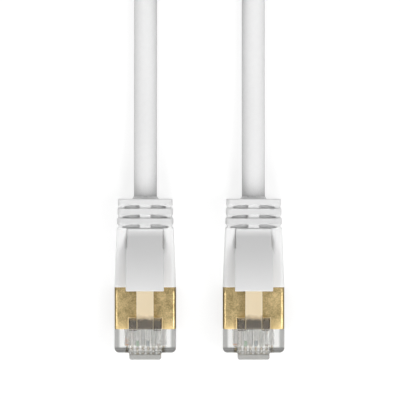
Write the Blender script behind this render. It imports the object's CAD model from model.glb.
import math

import bmesh
import bpy
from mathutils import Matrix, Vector


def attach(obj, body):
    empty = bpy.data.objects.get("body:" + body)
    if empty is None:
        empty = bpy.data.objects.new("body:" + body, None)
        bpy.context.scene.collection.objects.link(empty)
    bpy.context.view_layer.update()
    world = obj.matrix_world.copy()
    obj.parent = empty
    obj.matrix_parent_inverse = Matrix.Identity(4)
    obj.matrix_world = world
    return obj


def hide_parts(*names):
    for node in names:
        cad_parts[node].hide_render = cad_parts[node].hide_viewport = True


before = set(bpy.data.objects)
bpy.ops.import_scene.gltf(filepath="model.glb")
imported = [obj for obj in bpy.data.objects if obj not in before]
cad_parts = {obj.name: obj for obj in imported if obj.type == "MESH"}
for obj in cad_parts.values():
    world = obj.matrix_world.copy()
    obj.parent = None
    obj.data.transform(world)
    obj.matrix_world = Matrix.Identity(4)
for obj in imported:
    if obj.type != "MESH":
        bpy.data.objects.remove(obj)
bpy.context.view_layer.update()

mm = 0.001
rootBody = "cable_and_plugs"
endNames = ("a", "b")
scene = bpy.context.scene
scene.view_settings.view_transform = "Standard"


# The view is straight down on the latch side, noses towards the bottom of the view
cameraSpec = {"lens": 300, "sensor": 36, "seenWidth": 76.2, "aim": (0.11, 14.77, 5)}


def makeCamera(spec):
    data = bpy.data.cameras.new("camera")
    data.lens = spec["lens"]
    data.sensor_width = spec["sensor"]
    data.clip_start = 0.01
    data.clip_end = 20
    x, y, z = spec["aim"]
    away = spec["seenWidth"] * spec["lens"] / spec["sensor"]
    camera = bpy.data.objects.new("camera", data)
    camera.location = (x * mm, y * mm, (z + away) * mm)
    bpy.context.collection.objects.link(camera)
    scene.camera = camera


makeCamera(cameraSpec)
print("camera placed")


# The cord, in millimetres as in the CAD part: two leads, then a bow-shaped hank drawn in by a tie
cordSpec = {
    "diameter": 4.4,
    "exit": (10.3, 15.595, 3.7),
    "leadRoute": [(19, 3.7), (24, 3.4), (30, 2.9), (36, 2.4), (42, 2.2), (50, 2.2), (61, 2.2)],
    "sides": 32,
    "steps": 6,             # pieces of curve between two points
    "foldRadius": 13.2,
    "waistX": 2.4,
    "waistY": 92,
    "farLoopOut": 4.6,      # how far the outer far loop lies outside the inner one
    "lowZ": 2.2,
    "highZ": 6.6,
    "tieLift": 0.6,         # the strands rise over the tie's own thickness
    "tieLiftReach": 7,
    "nearSag": 0.6,         # the near loop dips between the two leads that it lies on
    "length": 0.44,
}


def arcPoints(centre, radius, start, stop, count):
    # The first point is left out, because the stretch before ends on it
    turns = [start + (stop - start) * i / count for i in range(1, count + 1)]
    return [(centre[0] + radius * math.cos(t), centre[1] + radius * math.sin(t), t) for t in turns]


def lobe(spec, out=0):
    # From the waist's left strand round to its right one: x, distance from the waist, share of the climb
    radius = spec["foldRadius"]
    swing = spec["waistX"] + radius
    rise = math.sqrt((2 * radius) ** 2 - swing ** 2)
    turn = math.asin(rise / (2 * radius))
    up = arcPoints((-swing, 0), radius, 0, turn, 5)
    up += arcPoints((0, rise), radius, math.pi + turn, math.pi, 5)
    over = arcPoints((0, rise + out), radius, math.pi, 0, 14)
    over += [(radius, rise, 0)] if out else []
    down = arcPoints((0, rise), radius, 0, -turn, 5)
    down += arcPoints((swing, 0), radius, math.pi - turn, math.pi, 5)
    made = [(x, y, 0) for x, y, t in up]
    made += [(x, y, (1 + math.cos(t)) / 2) for x, y, t in over]
    return made + [(x, y, 1) for x, y, t in down]


def leadPoints(spec):
    # One lead on the left: out of the boot, down to the floor, then in towards the waist
    x, y, z = spec["exit"]
    radius, waistX, waistY, low = spec["foldRadius"], spec["waistX"], spec["waistY"], spec["lowZ"]
    bend = math.acos(1 - (x - waistX) / (2 * radius))
    turnY = waistY - 2 * radius * math.sin(bend)
    made = [(-x, y, z)] + [(-x, along, height) for along, height in spec["leadRoute"]] + [(-x, turnY, low)]
    gather = arcPoints((radius - x, turnY), radius, math.pi, math.pi - bend, 4)
    gather += arcPoints((-waistX - radius, waistY), radius, -bend, 0, 4)
    return made + [(px, py, low) for px, py, t in gather]


def cordRoute(spec):
    waistY, low, high = spec["waistY"], spec["lowZ"], spec["highZ"]
    step = high - low
    lead = leadPoints(spec)
    climbing = [(x, waistY + y, low + step * share) for x, y, share in lobe(spec)]
    falling = [(x, waistY + y, high - step * share) for x, y, share in lobe(spec, spec["farLoopOut"])]
    radius = spec["foldRadius"]
    sag = spec["nearSag"]
    near = [(-x, waistY - y, high - sag * max(0, y - radius) / radius) for x, y, share in lobe(spec)]
    route = lead + climbing + near + falling
    route = route[:-1] + [(-x, y, z) for x, y, z in reversed(lead)]

    def lifted(x, y, z):
        return x, y, z + spec["tieLift"] * math.exp(-(((y - waistY) / spec["tieLiftReach"]) ** 2))

    return [Vector(lifted(*point)) * mm for point in route]


def makeCord(spec):
    route = cordRoute(spec)
    data = bpy.data.curves.new("cord", "CURVE")
    data.dimensions = "3D"
    data.resolution_u = spec["steps"]
    # The tube's radius is the depth times each point's own radius
    data.bevel_depth = 1
    data.bevel_resolution = spec["sides"] // 4
    data.use_fill_caps = True
    spline = data.splines.new("BEZIER")
    spline.bezier_points.add(len(route) - 1)
    for point, place in zip(spline.bezier_points, route):
        point.co = place
        point.radius = spec["diameter"] / 2 * mm
        point.handle_left_type = point.handle_right_type = "AUTO"
    cord = bpy.data.objects.new("cord", data)
    bpy.context.collection.objects.link(cord)
    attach(cord, rootBody)
    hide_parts("cord_lead_a", "cord_lead_b", "cord_hank")
    return cord


cord = makeCord(cordSpec)
print("cord laid")


class Link:
    # A socket that can be used in sums; a plain number may stand on its right
    def __init__(self, shader, socket):
        self.shader = shader
        self.socket = socket

    def sum(self, operation, *values):
        return self.shader.node("ShaderNodeMath", {"operation": operation}, *values)

    def __add__(self, other):
        return self.sum("ADD", self, other)

    def __sub__(self, other):
        return self.sum("SUBTRACT", self, other)

    def __mul__(self, other):
        return self.sum("MULTIPLY", self, other)

    def size(self):
        return self.sum("ABSOLUTE", self)

    def orMore(self, other):
        return self.sum("MAXIMUM", self, other)


class Shader:
    # A material under construction, with its Principled shader ready
    def __init__(self, name):
        self.material = bpy.data.materials.new(name)
        self.material.use_nodes = True
        self.tree = self.material.node_tree
        self.surface = self.tree.nodes["Principled BSDF"]
        coordinates = self.tree.nodes.new("ShaderNodeTexCoord")
        self.place = Link(self, coordinates.outputs["Object"])

    def node(self, kind, settings=None, *values, out=0, **named):
        made = self.tree.nodes.new(kind)
        for key, value in (settings or {}).items():
            setattr(made, key, value)
        for key, value in [*enumerate(values), *named.items()]:
            self.feed(made.inputs[key.replace("_", " ") if isinstance(key, str) else key], value)
        return Link(self, made.outputs[out])

    def feed(self, socket, value):
        if isinstance(value, Link):
            self.tree.links.new(value.socket, socket)
        else:
            socket.default_value = value

    def set(self, **values):
        for key, value in values.items():
            self.feed(self.surface.inputs[key.replace("_", " ")], value)
        return self

    def noise(self, scale, detail=3, roughness=0.5, place=None):
        return self.node("ShaderNodeTexNoise", None, place or self.place, Scale=scale, Detail=detail,
                         Roughness=roughness)

    def axes(self):
        parted = self.tree.nodes.new("ShaderNodeSeparateXYZ")
        self.feed(parted.inputs[0], self.place)
        return [Link(self, out) for out in parted.outputs]

    def stretched(self, scale):
        return self.node("ShaderNodeMapping", None, self.place, Scale=scale)

    def between(self, value, low, high, start=0.0, stop=1.0):
        return self.node("ShaderNodeMapRange", None, value, low, high, start, stop)

    def mix(self, share, first, second):
        made = self.tree.nodes.new("ShaderNodeMix")
        made.data_type = "RGBA"
        for key, value in ((0, share), (6, first), (7, second)):
            self.feed(made.inputs[key], value)
        return Link(self, made.outputs[2])

    def bump(self, height, strength, distance):
        return self.node("ShaderNodeBump", None, Height=height, Strength=strength, Distance=distance)


def grey(value):
    return (value, value, value, 1)


def darker(colour, share):
    return tuple(share * part for part in colour[:3]) + (1,)


def jacketMaterial():
    # Extruded jacket: matt, with very faint lengthways die lines; dust settles where it lies close to things
    s = Shader("jacket_satin_grey")
    lines = s.noise(1.0, 2, 0.5, s.stretched((1800, 40, 1800)))
    dust = s.noise(1200, 4, 0.6)
    close = s.node("ShaderNodeAmbientOcclusion", {"samples": 8}, Distance=0.02, out=1)
    tone = s.mix(s.between(dust, 0.35, 0.7), grey(0.86), grey(0.88))
    s.set(Base_Color=s.mix(s.between(close, 0.45, 0.95), grey(0.50), tone),
          Roughness=s.between(dust, 0.3, 0.7, 0.50, 0.58),
          Normal=s.bump(lines * 0.4 + dust * 0.6, 0.12, 0.00002))
    return s.set(IOR=1.3, Specular_IOR_Level=0.2).material


# The plug's measures that the materials and own meshes need, in millimetres from its centre line
plug = {
    "pitch": 20.6,
    "frontY": -14.315,
    "noseBandY": -13.15,
    "shieldY": -9.765,
    "bootY": -1.795,
    "tailEndY": 4.8,
    "ribsY": 9.505,
    "leverW": 3.25,
    "notchHalf": 3.15,
    "notchEnd": -7.665,
    "exitY": 15.595,
    "bodyW": 11.7,
    "bodyH": 6.6,
    "tailW": 10.3,
    "tailZ": 0.35,
    "tailH": 5.9,
    "cableZ": 3.7,
    "rowZ": (4.15, 2.95),
    "pinPitch": 1.02,
    "pins": 8,
}


def bootMaterial():
    # Soft moulded boot: fine spark-eroded grain; handling has greyed the guard and the grip ribs a little
    s = Shader("boot_soft_grey")
    x, y, z = s.axes()
    grain = s.noise(7000, 3, 0.6)
    cloud = s.noise(180, 2, 0.5)
    tone = s.mix(s.between(cloud, 0.3, 0.7), grey(0.86), grey(0.88))
    handled = s.mix(s.between(y, 5 * mm, -2 * mm), grey(0.68), grey(0.73))
    guarded = s.mix(s.between(z, 8.05 * mm, 8.6 * mm), tone, handled)
    ribs = s.mix(s.between(y, plug["ribsY"] * mm, plug["exitY"] * mm), grey(0.66), grey(0.79))
    rearward = s.between(y, (plug["ribsY"] - 0.4) * mm, (plug["ribsY"] + 0.4) * mm)
    s.set(Base_Color=s.mix(rearward, guarded, ribs),
          Roughness=s.between(grain, 0.3, 0.7, 0.46, 0.58), Normal=s.bump(grain, 0.25, 0.00003))
    return s.set(IOR=1.48).material


def acrossPlug(x):
    # Distance from the nearer plug's centre line
    return (x.size() - plug["pitch"] / 2 * mm).size()


def alongLine(s, distance, width):
    # 1 close to the line, fading to 0 beside it
    return s.between(distance.size(), width * 0.8 * mm, width * 0.3 * mm)


def clearMaterial():
    # Clear polycarbonate with a milky share and weak flow lines; it greys towards its thick outer edges
    s = Shader("clear_moulding")
    x, y, z = s.axes()
    flow = s.noise(500, 3, 0.5)
    streak = s.noise(1.0, 2, 0.5, s.stretched((2400, 60, 300)))
    half = plug["bodyW"] / 2
    upper = s.between(z, (plug["bodyH"] - 1.5) * mm, (plug["bodyH"] - 0.5) * mm)
    rim = upper * s.between(acrossPlug(x), (half - 1.15) * mm, (half - 0.75) * mm)
    band = upper * s.between(y, (plug["noseBandY"] + 0.1) * mm, (plug["noseBandY"] - 0.25) * mm)
    tab = s.between(y, (plug["frontY"] + 0.1) * mm, (plug["frontY"] - 0.1) * mm)
    shaded = s.between(y, (plug["shieldY"] - 0.05) * mm, (plug["shieldY"] + 0.2) * mm)
    pale = s.mix(s.between(streak, 0.42, 0.6), (0.95, 0.955, 0.94, 1), (1, 1, 0.99, 1))
    edged = s.mix(rim, pale, (0.34, 0.34, 0.33, 1))
    banded = s.mix(band, edged, (0.09, 0.09, 0.085, 1))
    tabbed = s.mix(tab, banded, (0.50, 0.50, 0.48, 1))
    # What lies under the shield is seen through the notch, where little light reaches it
    tone = s.mix(shaded, tabbed, (0.17, 0.13, 0.075, 1))
    s.set(Base_Color=tone, Roughness=s.between(flow, 0.3, 0.7, 0.02, 0.05),
          Normal=s.bump(flow * 0.5 + streak * 0.5, 0.06, 0.00003))
    return s.set(IOR=1.36, Transmission_Weight=0.8).material


def latchMaterial():
    # The same clear plastic over the nose and the notch; drawn thin and milky where it lies over the shield
    s = Shader("latch_moulding")
    x, y, z = s.axes()
    flow = s.noise(700, 3, 0.5)
    edge = s.noise(900, 2, 0.5) * (0.9 * mm)
    over = s.between(y + edge, (plug["shieldY"] + 2.1) * mm, (plug["shieldY"] + 3.3) * mm)
    # Light gathers in the lever's two long edges
    rims = alongLine(s, acrossPlug(x) - (plug["leverW"] / 2 - 0.08) * mm, 0.14)
    behind = s.between(y, (plug["shieldY"] - 0.1) * mm, (plug["shieldY"] + 0.1) * mm)
    share = over.orMore(rims * behind * 0.55)
    relief = s.bump(flow, 0.12, 0.00004)
    cream = s.mix(rims * 0.6, (0.86, 0.72, 0.48, 1), (1, 0.92, 0.72, 1))
    milky = s.node("ShaderNodeBsdfPrincipled", None, Base_Color=cream, Roughness=0.28, IOR=1.5,
                   Transmission_Weight=0.3, Normal=relief)
    notched = s.between(y, (plug["shieldY"] - 0.1) * mm, (plug["shieldY"] + 0.15) * mm)
    pale = s.mix(flow, (0.96, 0.96, 0.94, 1), (1, 1, 0.99, 1))
    s.set(Base_Color=s.mix(notched, pale, (0.55, 0.46, 0.33, 1)),
          Roughness=s.between(flow, 0.3, 0.7, 0.02, 0.05), Normal=s.bump(flow, 0.04, 0.00003), IOR=1.35,
          Transmission_Weight=0.97)
    blend = s.tree.nodes.new("ShaderNodeMixShader")
    s.feed(blend.inputs[0], share)
    s.tree.links.new(s.surface.outputs[0], blend.inputs[1])
    s.feed(blend.inputs[2], milky)
    s.tree.links.new(blend.outputs[0], s.tree.nodes["Material Output"].inputs["Surface"])
    return s.material


def shieldMaterial():
    # Gold-plated sheet: mottled, slightly rough, brighter along its front edge where it was rubbed
    s = Shader("plated_sheet")
    x, y, z = s.axes()
    mottle = s.noise(3600, 5, 0.7)
    patch = s.noise(700, 2, 0.5)
    rubbed = s.between(y + patch * (2.4 * mm), (plug["shieldY"] + 3.6) * mm, (plug["shieldY"] + 0.6) * mm)
    share = s.between(mottle * 0.6 + patch * 0.4, 0.38, 0.62)
    worn = s.mix(share, (0.36, 0.27, 0.12, 1), (0.80, 0.62, 0.32, 1))
    fronted = s.mix(rubbed * 0.65, worn, (0.88, 0.67, 0.34, 1))
    side = s.between(acrossPlug(x), (plug["bodyW"] / 2 - 0.28) * mm, (plug["bodyW"] / 2 - 0.12) * mm)
    # The punch left a bright burr round the notch
    half, rear = plug["notchHalf"], plug["notchEnd"]
    beside = alongLine(s, acrossPlug(x) - (half + 0.08) * mm, 0.16)
    beside = beside * s.between(y, (rear + 0.2) * mm, (rear + 0.1) * mm)
    across = alongLine(s, y - (rear + 0.08) * mm, 0.16)
    across = across * s.between(acrossPlug(x), (half + 0.2) * mm, (half + 0.1) * mm)
    burred = s.mix(beside.orMore(across) * 0.8, fronted, (1, 0.87, 0.58, 1))
    tone = s.mix(side * 0.9, burred, (0.20, 0.16, 0.08, 1))
    s.set(Base_Color=tone, Roughness=s.between(mottle, 0.3, 0.7, 0.38, 0.27),
          Normal=s.bump(mottle, 0.35, 0.00003))
    return s.set(Metallic=1.0).material


def contactMaterial():
    s = Shader("bright_gold")
    fine = s.noise(4000, 3, 0.5)
    s.set(Base_Color=s.mix(fine, (0.80, 0.58, 0.22, 1), (0.93, 0.74, 0.36, 1)),
          Roughness=s.between(fine, 0.3, 0.7, 0.14, 0.24), Normal=s.bump(fine, 0.15, 0.00001))
    return s.set(Metallic=1.0).material


def foilMaterial():
    s = Shader("crinkled_foil")
    crease = s.node("ShaderNodeTexVoronoi", {"feature": "DISTANCE_TO_EDGE"}, s.place, Scale=1400)
    s.set(Base_Color=s.mix(crease * 3, (0.55, 0.56, 0.58, 1), (0.80, 0.81, 0.82, 1)),
          Roughness=s.between(crease, 0, 0.3, 0.45, 0.22), Normal=s.bump(crease, 0.6, 0.0001))
    return s.set(Metallic=1.0).material


def plasticMaterial(name, colour, roughness=0.5):
    s = Shader(name)
    grain = s.noise(3500, 3, 0.6)
    s.set(Base_Color=s.mix(s.between(grain, 0.3, 0.7), darker(colour, 0.9), colour),
          Roughness=s.between(grain, 0.3, 0.7, roughness, roughness + 0.1),
          Normal=s.bump(grain, 0.2, 0.00002))
    return s.material


wireColours = {
    "orange": (0.80, 0.30, 0.06, 1),
    "green": (0.02, 0.40, 0.05, 1),
    "blue": (0.01, 0.13, 0.24, 1),
    "brown": (0.30, 0.15, 0.07, 1),
}
wireSpec = {"diameter": 0.86, "frontY": -12.915, "spreadY": -4.395, "closedY": 1.605, "bundleR": 1.27,
            "tips": {"green": 1.0, "blue": 1.0, "orange": 0.3, "brown": 0.35}, "bendSteps": 8,
            "wobble": 0.05, "wobbleScale": 180.0, "samples": 60, "sides": 20}


def wireMaterial(name, colour, striped):
    # Solid insulation, or white insulation with a thin coloured stripe along it and a coloured cut end
    s = Shader(name)
    x, y, z = s.axes()
    grain = s.noise(3000, 2, 0.5)
    plain = s.mix(grain, darker(colour, 0.85), colour)
    if not striped:
        # Pressed pale where the mould grips it
        pressed = s.between(y, (plug["shieldY"] + 1) * mm, plug["shieldY"] * mm)
        plain = s.mix(pressed * 0.85, plain, grey(0.92))
    else:
        tipEnd = wireSpec["frontY"] + wireSpec["tips"][name.split("_")[-1]]
        tip = s.between(y, (tipEnd + 0.1) * mm, (tipEnd - 0.1) * mm)
        dashes = s.between(s.noise(1.0, 1, 0.5, s.stretched((900, 350, 900))), 0.62, 0.66)
        pale = tuple(0.90 + 0.06 * part for part in colour[:3]) + (1,)
        plain = s.mix(tip, s.mix(dashes * 0.7, pale, colour), plain)
    s.set(Base_Color=plain, Roughness=s.between(grain, 0.3, 0.7, 0.34, 0.44),
          Normal=s.bump(grain, 0.15, 0.00002))
    return s.material


finishes = {
    "jacket": jacketMaterial(),
    "boot": bootMaterial(),
    "clear": clearMaterial(),
    "latch": latchMaterial(),
    "shield": shieldMaterial(),
    "contact": contactMaterial(),
    "foil": foilMaterial(),
    "natural": plasticMaterial("natural_moulding", (0.85, 0.85, 0.81, 1)),
    "tie": plasticMaterial("tie_ribbon", (0.82, 0.82, 0.81, 1), 0.4),
}
for hue, colour in wireColours.items():
    finishes[hue] = wireMaterial("insulation_" + hue, colour, False)
    finishes["white_" + hue] = wireMaterial("insulation_white_" + hue, colour, True)
print("materials ready")


def dress(piece, material):
    piece.data.materials.clear()
    piece.data.materials.append(material)


def reworked(piece, operation, **options):
    # Runs one bmesh operation on a piece's mesh
    work = bmesh.new()
    work.from_mesh(piece.data)
    operation(work, options)
    work.to_mesh(piece.data)
    work.free()


def weld(work, options):
    bmesh.ops.remove_doubles(work, verts=work.verts, dist=options["reach"])


def faceOutwards(work, options):
    bmesh.ops.recalc_face_normals(work, faces=work.faces)


def settled(piece):
    # Works the piece's modifiers out into a plain mesh
    done = bpy.data.meshes.new_from_object(piece.evaluated_get(bpy.context.evaluated_depsgraph_get()))
    piece.modifiers.clear()
    piece.data = done
    return piece


def newPiece(name, points, edges, faces):
    # Points are in millimetres
    data = bpy.data.meshes.new(name)
    data.from_pydata([[value * mm for value in point] for point in points], edges, faces)
    piece = bpy.data.objects.new(name, data)
    bpy.context.collection.objects.link(piece)
    return piece


def smoothFaces(piece, angle=None):
    for face in piece.data.polygons:
        face.use_smooth = True
    if angle:
        piece.data.set_sharp_from_angle(angle=math.radians(angle))


def install(piece, body, node, finish):
    dress(piece, finishes[finish])
    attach(piece, body)
    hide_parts(node)


def endX(end):
    return plug["pitch"] / 2 * (-1 if end == "a" else 1)


# Pieces that stay inside keep their CAD shape
innerFinish = {"load_bar": "natural", "cable_screen": "foil", "jacket_end": "jacket",
               "crimp_collar": "shield", "inner_mould": "natural"}
cord.data.materials.append(finishes["jacket"])
for end in endNames:
    for name, finish in innerFinish.items():
        dress(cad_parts[f"{name}_{end}"], finishes[finish])


def mouldedCopy(node, voxel, smoothing):
    # A moulded part from its CAD solid, with its edges softened as a mould leaves them
    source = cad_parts[node]
    piece = bpy.data.objects.new("moulded_" + node, source.data.copy())
    bpy.context.collection.objects.link(piece)
    reworked(piece, weld, reach=0.002 * mm)
    remesh = piece.modifiers.new("remesh", "REMESH")
    remesh.mode = "VOXEL"
    remesh.voxel_size = voxel * mm
    soften = piece.modifiers.new("soften", "SMOOTH")
    soften.factor = 0.5
    soften.iterations = smoothing
    settled(piece)
    smoothFaces(piece)
    return piece


recessSpec = {"rootHalf": 3.3, "recessHalf": 3.36, "blend": 0.25}


def closeRecess(piece, end, spec):
    # The guard's root sits snugly between the boot's shoulders, so no open line shows beside it
    inner = spec["rootHalf"] - spec["blend"]
    widening = spec["recessHalf"] - spec["rootHalf"]
    for vertex in piece.data.vertices:
        off = vertex.co.x / mm - endX(end)
        if inner < abs(off) < spec["recessHalf"]:
            vertex.co.x += math.copysign(widening * (abs(off) - inner) / spec["blend"], off) * mm


pocketSpec = {"x": (1.0, 5.0), "top": 8.1, "low": 6.1, "share": 0.55}


def easePockets(piece, end, spec):
    # The pockets between the ribs are shallow, with their floors drawn up towards the web
    near, far = spec["x"]
    for vertex in piece.data.vertices:
        off = abs(vertex.co.x / mm - endX(end))
        y, z = vertex.co.y / mm, vertex.co.z / mm
        if near < off < far and plug["ribsY"] < y < plug["exitY"] and spec["low"] < z < spec["top"]:
            vertex.co.z = (spec["top"] - (spec["top"] - z) * spec["share"]) * mm


shoulderSpec = {"slope": (3.4, 4.35), "top": 8.0, "floor": 7.0, "along": (4.4, 9.45), "reach": 2.5,
                "depth": 0.5}


def softenShoulders(piece, end, spec):
    # The boot's shoulders ease down towards the guard's root, most of all beside its very end
    low, high = spec["slope"]
    front, rear = spec["along"]
    for vertex in piece.data.vertices:
        off = abs(vertex.co.x / mm - endX(end))
        y, z = vertex.co.y / mm, vertex.co.z / mm
        if low - 0.03 < off < high and front < y < rear and spec["floor"] - 0.1 < z < spec["top"]:
            ease = min(1, (y - front) / spec["reach"])
            dip = spec["depth"] * ease * min(1, (high - off) / (high - low)) ** 2
            vertex.co.z = (spec["top"] - dip) * mm


# Node, body that carries it, voxel size, smoothing steps, slot and finish
mouldings = [
    ("boot", None, 0.125, 2, "boot_rubber", "boot"),
    ("latch_guard", "guard", 0.10, 5, "boot_rubber", "boot"),
    ("housing", None, 0.13, 2, "clear_plastic", "clear"),
    ("latch_lever", "latch", 0.08, 2, "clear_plastic", "latch"),
]
for end in endNames:
    for name, mover, voxel, smoothing, slot, finish in mouldings:
        piece = mouldedCopy(f"{name}_{end}", voxel, smoothing)
        if name == "latch_guard":
            closeRecess(piece, end, recessSpec)
        if name == "boot":
            softenShoulders(piece, end, shoulderSpec)
            easePockets(piece, end, pocketSpec)
        install(piece, f"{mover}_{end}" if mover else rootBody, f"{name}_{end}", finish)
print("mouldings ready")


# The shield is one folded sheet: rounded folds, a notch over the latch, two windows and a seam underneath
shieldSpec = {"sheet": 0.25, "foldRadius": 0.6, "foldSteps": 6,
              "windowY": (-4.395, -2.995), "windowZ": (2.2, 4.4), "seam": 0.15, "burr": 0.05}


def foldedSection(width, low, height, spec):
    # Points round the sheet from the seam: along the bottom, up one side, over the top and back
    radius = spec["foldRadius"]
    half = width / 2
    turns = [math.pi / 2 * i / spec["foldSteps"] for i in range(spec["foldSteps"] + 1)]
    right = [(spec["seam"] / 2, low), (half / 2, low)]
    right += [(half - radius + radius * math.sin(t), low + radius - radius * math.cos(t)) for t in turns]
    right += [(half, z) for z in spec["windowZ"]]
    upper = low + height - radius
    right += [(half - radius + radius * math.cos(t), upper + radius * math.sin(t)) for t in turns]
    right += [(plug["notchHalf"], low + height), (plug["notchHalf"] / 2, low + height)]
    return right + [(0, low + height)] + [(-x, z) for x, z in reversed(right)]


def makeShield(end, spec):
    body = foldedSection(plug["bodyW"], 0, plug["bodyH"], spec)
    tail = foldedSection(plug["tailW"], plug["tailZ"], plug["tailH"], spec)
    stations = [(plug["shieldY"], body), (plug["notchEnd"], body), (spec["windowY"][0], body),
                (spec["windowY"][1], body), (plug["bootY"] - 0.02, body), (plug["bootY"], tail),
                (plug["tailEndY"], tail)]
    count = len(body)
    points = [(endX(end) + x, y, z) for y, section in stations for x, z in section]
    faces = []
    for row in range(len(stations) - 1):
        for i in range(count - 1):
            (xa, za), (xb, zb) = body[i], body[i + 1]
            inNotch = row == 0 and za == zb == plug["bodyH"] and max(abs(xa), abs(xb)) <= plug["notchHalf"]
            inWindow = row == 2 and sorted((za, zb)) == list(spec["windowZ"])
            if not inNotch and not inWindow:
                low = row * count + i
                faces.append((low, low + count, low + count + 1, low + 1))
    piece = newPiece("folded_shield_" + end, points, [], faces)
    sheet = piece.modifiers.new("sheet", "SOLIDIFY")
    sheet.thickness = spec["sheet"] * mm
    sheet.offset = -1
    sheet.use_even_offset = True
    edge = piece.modifiers.new("edge", "BEVEL")
    edge.width = spec["burr"] * mm
    edge.segments = 2
    edge.limit_method = "ANGLE"
    edge.angle_limit = math.radians(40)
    settled(piece)
    smoothFaces(piece, 35)
    return piece


for end in endNames:
    install(makeShield(end, shieldSpec), rootBody, "shield_" + end, "shield")
print("shields folded")


def nodeTree(name, inputs):
    # An empty geometry tree with named inputs; returns it with its two ends
    tree = bpy.data.node_groups.new(name, "GeometryNodeTree")
    tree.interface.new_socket("Geometry", in_out="INPUT", socket_type="NodeSocketGeometry")
    for label, kind in inputs.items():
        tree.interface.new_socket(label, in_out="INPUT", socket_type="NodeSocket" + kind)
    tree.interface.new_socket("Geometry", in_out="OUTPUT", socket_type="NodeSocketGeometry")
    return tree, tree.nodes.new("NodeGroupInput"), tree.nodes.new("NodeGroupOutput")


def geometryNode(tree, kind, settings=None, **links):
    # Links are sockets or plain values, by the input's name, or i0, i1 ... for its number
    made = tree.nodes.new(kind)
    for key, value in (settings or {}).items():
        setattr(made, key, value)
    for key, value in links.items():
        numbered = key[0] == "i" and key[1:].isdigit()
        socket = made.inputs[int(key[1:]) if numbered else key.replace("_", " ")]
        if isinstance(value, bpy.types.NodeSocket):
            tree.links.new(value, socket)
        else:
            socket.default_value = value
    return made


def closeTree(tree, geometry, entry, leave):
    # Every tree ends in the same two steps
    real = geometryNode(tree, "GeometryNodeRealizeInstances", Geometry=geometry)
    painted = geometryNode(tree, "GeometryNodeSetMaterial", Geometry=real.outputs[0],
                           Material=entry.outputs["Material"])
    tree.links.new(painted.outputs[0], leave.inputs[0])


def applyTree(piece, tree, values):
    grow = piece.modifiers.new("grow", "NODES")
    grow.node_group = tree
    for item in tree.interface.items_tree:
        if item.in_out == "INPUT" and item.name in values:
            grow[item.identifier] = values[item.name]
    return settled(piece)


def wireTree(spec):
    # A round insulated conductor along a line of points, with a slight handmade wobble
    tree, entry, leave = nodeTree("conductor", {"Diameter": "Float", "Wobble": "Float", "Seed": "Float",
                                                "Sides": "Int", "Material": "Material"})
    line = geometryNode(tree, "GeometryNodeMeshToCurve", Mesh=entry.outputs["Geometry"])
    fine = geometryNode(tree, "GeometryNodeResampleCurve", Curve=line.outputs[0], Count=spec["samples"])
    noise = geometryNode(tree, "ShaderNodeTexNoise", {"noise_dimensions": "4D"}, W=entry.outputs["Seed"],
                         Scale=spec["wobbleScale"])
    centred = geometryNode(tree, "ShaderNodeVectorMath", {"operation": "SUBTRACT"},
                           i0=noise.outputs["Color"], i1=(0.5, 0.5, 0.5))
    inside = geometryNode(tree, "ShaderNodeVectorMath", {"operation": "SCALE"},
                          i0=centred.outputs[0], Scale=entry.outputs["Wobble"])
    moved = geometryNode(tree, "GeometryNodeSetPosition", Geometry=fine.outputs[0], Offset=inside.outputs[0])
    radius = geometryNode(tree, "ShaderNodeMath", {"operation": "MULTIPLY"},
                          i0=entry.outputs["Diameter"], i1=0.5)
    ring = geometryNode(tree, "GeometryNodeCurvePrimitiveCircle", Resolution=entry.outputs["Sides"],
                        Radius=radius.outputs[0])
    body = geometryNode(tree, "GeometryNodeCurveToMesh", Curve=moved.outputs[0],
                        Profile_Curve=ring.outputs[0], Fill_Caps=True)
    closeTree(tree, body.outputs[0], entry, leave)
    return tree


def wireRoute(end, pin, spec):
    # Straight in its own bore, then eased into its place in the round bundle, as in the CAD part
    x = (pin - (plug["pins"] - 1) / 2) * plug["pinPitch"]
    z = plug["rowZ"][pin % 2]
    turn = math.radians(157.5 - 22.5 * pin if pin % 2 == 0 else 180 + 22.5 * pin)
    bundleX = spec["bundleR"] * math.cos(turn)
    bundleZ = plug["cableZ"] + spec["bundleR"] * math.sin(turn)
    route = [(x, spec["frontY"], z)]
    for i in range(spec["bendSteps"] + 1):
        share = i / spec["bendSteps"]
        ease = (1 - math.cos(math.pi * share)) / 2
        along = spec["spreadY"] + share * (spec["closedY"] - spec["spreadY"])
        route.append((x + ease * (bundleX - x), along, z + ease * (bundleZ - z)))
    route.append((bundleX, plug["exitY"], bundleZ))
    return [(endX(end) + px, py, pz) for px, py, pz in route]


wireOrder = ["white_orange", "orange", "white_green", "blue", "white_blue", "green", "white_brown", "brown"]
conductor = wireTree(wireSpec)
for end in endNames:
    for pin, hue in enumerate(wireOrder):
        route = wireRoute(end, pin, wireSpec)
        piece = newPiece(f"conductor_{hue}_{end}", route, [(i, i + 1) for i in range(len(route) - 1)], [])
        applyTree(piece, conductor, {"Diameter": wireSpec["diameter"] * mm, "Wobble": wireSpec["wobble"] * mm,
                                     "Seed": float(pin), "Sides": wireSpec["sides"],
                                     "Material": finishes[hue]})
        smoothFaces(piece, 50)
        install(piece, rootBody, f"wire_{hue}_{end}", hue)
print("conductors laid")


# One contact blade: a foot that shows in the slot, and two pointed tines that bite into the conductor
bladeSpec = {"thickness": 0.34, "frontY": -13.815, "length": 3.4, "lowZ": 0.45, "tine": 0.8, "tineInset": 0.5,
             "tineHeight": 0.7, "tipLength": 0.3, "tipGap": 0.08, "noseRadius": 0.45, "noseSteps": 6,
             "edge": 0.04}


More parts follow.
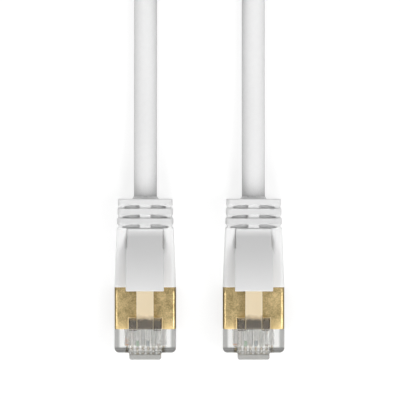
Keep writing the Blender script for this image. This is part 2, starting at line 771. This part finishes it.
def bladeOutline(rowZ, spec):
    # Side view, from the front's foot round to the top: distance along the plug, height
    top = rowZ - spec["tipGap"]
    foot = top - spec["tineHeight"]
    radius, length, tine = spec["noseRadius"], spec["length"], spec["tine"]
    corner = [math.pi / 2 * i / spec["noseSteps"] for i in range(spec["noseSteps"] + 1)]
    outline = [(radius - radius * math.cos(t), spec["lowZ"] + radius - radius * math.sin(t)) for t in corner]
    outline += [(length, spec["lowZ"]), (length, foot)]
    shoulder = top - spec["tipLength"]
    for start in (length - spec["tineInset"] - tine, spec["tineInset"]):
        outline += [(start + tine, foot), (start + tine, shoulder), (start + tine / 2, top),
                    (start, shoulder), (start, foot)]
    return [(y + spec["frontY"], z) for y, z in outline + [(0, foot)]]


def makeBlade(rowZ, spec):
    outline = bladeOutline(rowZ, spec)
    count = len(outline)
    half = spec["thickness"] / 2
    points = [(side * half, y, z) for side in (-1, 1) for y, z in outline]
    walls = [(i, (i + 1) % count, (i + 1) % count + count, i + count) for i in range(count)]
    cheeks = [tuple(range(count)), tuple(range(2 * count - 1, count - 1, -1))]
    piece = newPiece("blade", points, [], cheeks + walls)
    reworked(piece, faceOutwards)
    edge = piece.modifiers.new("edge", "BEVEL")
    edge.width = spec["edge"] * mm
    edge.segments = 2
    edge.limit_method = "ANGLE"
    return settled(piece)


def contactTree():
    # Blades at an even pitch, tall and short ones by turns
    tree, entry, leave = nodeTree("contacts", {"Count": "Int", "Pitch": "Float", "First": "Vector",
                                               "Tall": "Object", "Short": "Object", "Material": "Material"})
    step = geometryNode(tree, "ShaderNodeCombineXYZ", X=entry.outputs["Pitch"])
    line = geometryNode(tree, "GeometryNodeMeshLine", Count=entry.outputs["Count"],
                        Start_Location=entry.outputs["First"], Offset=step.outputs[0])
    index = geometryNode(tree, "GeometryNodeInputIndex")
    odd = geometryNode(tree, "ShaderNodeMath", {"operation": "MODULO"}, i0=index.outputs[0], i1=2.0)
    even = geometryNode(tree, "ShaderNodeMath", {"operation": "SUBTRACT"}, i0=1.0, i1=odd.outputs[0])
    rows = []
    for label, chosen in (("Tall", even), ("Short", odd)):
        shape = geometryNode(tree, "GeometryNodeObjectInfo", Object=entry.outputs[label])
        rows.append(geometryNode(tree, "GeometryNodeInstanceOnPoints", Points=line.outputs[0],
                                 Selection=chosen.outputs[0], Instance=shape.outputs["Geometry"]))
    both = tree.nodes.new("GeometryNodeJoinGeometry")
    for row in rows:
        tree.links.new(row.outputs[0], both.inputs[0])
    closeTree(tree, both.outputs[0], entry, leave)
    return tree


blades = [makeBlade(rowZ, bladeSpec) for rowZ in plug["rowZ"]]
contactRow = contactTree()
for end in endNames:
    piece = newPiece("contact_row_" + end, [(endX(end), 0, 0)], [], [])
    firstX = endX(end) - (plug["pins"] - 1) / 2 * plug["pinPitch"]
    applyTree(piece, contactRow, {"Count": plug["pins"], "Pitch": plug["pinPitch"] * mm,
                                  "First": (firstX * mm, 0, 0), "Tall": blades[0], "Short": blades[1],
                                  "Material": finishes["contact"]})
    smoothFaces(piece, 30)
    install(piece, rootBody, "contacts_" + end, "contact")
for blade in blades:
    bpy.data.objects.remove(blade)
print("contacts set")


# The tie: a flat ribbon with a wire core in its middle, twisted together over the waist
tieSpec = {"waistY": 92, "width": 4, "thickness": 0.6, "innerW": 9.2, "innerH": 8.8, "corner": 2.2,
           "cornerSteps": 6, "knotLength": 8, "knotX": 2.3, "knotRadius": 0.45, "knotTurns": 3.5,
           "knotSteps": 60, "knotSides": 8, "sunk": 0.05, "squash": 0.8}


def ribbonSection(spec):
    # Half-height over the width: a thin web each side of the round wire core
    half, edge, core = spec["width"] / 2, spec["thickness"] * 0.22, spec["thickness"] / 2
    outer = [(-half, edge), (-half * 0.3, edge), (-half * 0.14, core)]
    return outer + [(-x, height) for x, height in reversed(outer)]


def ribbonLoop(spec):
    # The closed band round the waist: its points and faces
    radius = spec["corner"]
    halfW = (spec["innerW"] + spec["thickness"]) / 2
    midZ = (spec["innerH"] + 2 * spec["thickness"]) / 2
    halfH = (spec["innerH"] + spec["thickness"]) / 2
    section = ribbonSection(spec)
    profile = section + [(x, -h) for x, h in reversed(section)]
    points = []
    for corner in range(4):
        x = (halfW - radius) * (1 if corner in (0, 3) else -1)
        z = midZ + (halfH - radius) * (1 if corner in (0, 1) else -1)
        for i in range(spec["cornerSteps"] + 1):
            turn = math.pi / 2 * (corner + i / spec["cornerSteps"])
            points += [(x + (radius + out) * math.cos(turn), spec["waistY"] + along,
                        z + (radius + out) * math.sin(turn)) for along, out in profile]
    count = len(profile)
    rings = len(points) // count
    faces = []
    for ring in range(rings):
        here, after = ring * count, (ring + 1) % rings * count
        for i in range(count):
            beside = (i + 1) % count
            faces.append((here + i, here + beside, after + beside, after + i))
    return points, faces


def twistedEnd(spec, phase, first):
    # One of the two thin strands wound round each other over the band; its points start at the given number
    radius, sides, steps = spec["knotRadius"], spec["knotSides"], spec["knotSteps"]
    top = spec["innerH"] + 2 * spec["thickness"]
    points = []
    for i in range(steps + 1):
        share = i / steps
        turn = phase + 2 * math.pi * spec["knotTurns"] * share
        x = spec["knotX"] + (share - 0.5) * spec["knotLength"]
        y = spec["waistY"] + radius * spec["squash"] * math.cos(turn)
        z = top + 2 * radius - spec["sunk"] + radius * spec["squash"] * math.sin(turn)
        angles = [2 * math.pi * k / sides for k in range(sides)]
        points += [(x, y + radius * math.cos(a), z + radius * math.sin(a)) for a in angles]
    faces = []
    for i in range(steps):
        here, after = first + i * sides, first + (i + 1) * sides
        for k in range(sides):
            beside = (k + 1) % sides
            faces.append((here + k, here + beside, after + beside, after + k))
    tip = first + steps * sides
    faces += [tuple(first + k for k in range(sides)), tuple(tip + k for k in reversed(range(sides)))]
    return points, faces


def makeTie(spec):
    points, faces = ribbonLoop(spec)
    for phase in (0, math.pi):
        morePoints, moreFaces = twistedEnd(spec, phase, len(points))
        points += morePoints
        faces += moreFaces
    piece = newPiece("tie_ribbon", points, [], faces)
    reworked(piece, faceOutwards)
    smoothFaces(piece, 50)
    return piece


install(makeTie(tieSpec), rootBody, "cord_tie", "tie")
print("tie wound")


# A pale table under large soft lights, the strongest of them on the right
stageSpec = {"floorSize": 3, "floorTone": 0.38, "glow": 0.68, "worldLight": 0.32,
             "lamps": {"right": ((0.42, -0.12, 0.62), 0.34, 2.0), "left": ((-0.42, -0.12, 0.62), 0.34, 1.2),
                       "front": ((0, -0.58, 0.55), 0.5, 2.4), "above": ((0.02, 0.1, 1.2), 1.2, 0.9)}}


def makeStage(spec):
    half = spec["floorSize"] / 2
    data = bpy.data.meshes.new("floor")
    corners = [(-half, -half, 0), (half, -half, 0), (half, half, 0), (-half, half, 0)]
    data.from_pydata(corners, [], [(0, 1, 2, 3)])
    floor = bpy.data.objects.new("floor", data)
    bpy.context.collection.objects.link(floor)
    s = Shader("pale_floor")
    s.set(Base_Color=grey(spec["floorTone"]), Roughness=0.9, Emission_Color=grey(1.0),
          Emission_Strength=spec["glow"])
    dress(floor, s.material)
    world = bpy.data.worlds.new("studio")
    world.use_nodes = True
    world.node_tree.nodes["Background"].inputs["Color"].default_value = grey(spec["worldLight"])
    scene.world = world
    for name, (place, size, power) in spec["lamps"].items():
        lamp = bpy.data.lights.new(name, "AREA")
        lamp.size = size
        lamp.energy = power
        holder = bpy.data.objects.new(name, lamp)
        holder.location = place
        holder.rotation_euler = (-Vector(place)).to_track_quat("-Z", "Y").to_euler()
        bpy.context.collection.objects.link(holder)


makeStage(stageSpec)
print("stage and lights ready")

bpy.context.view_layer.update()
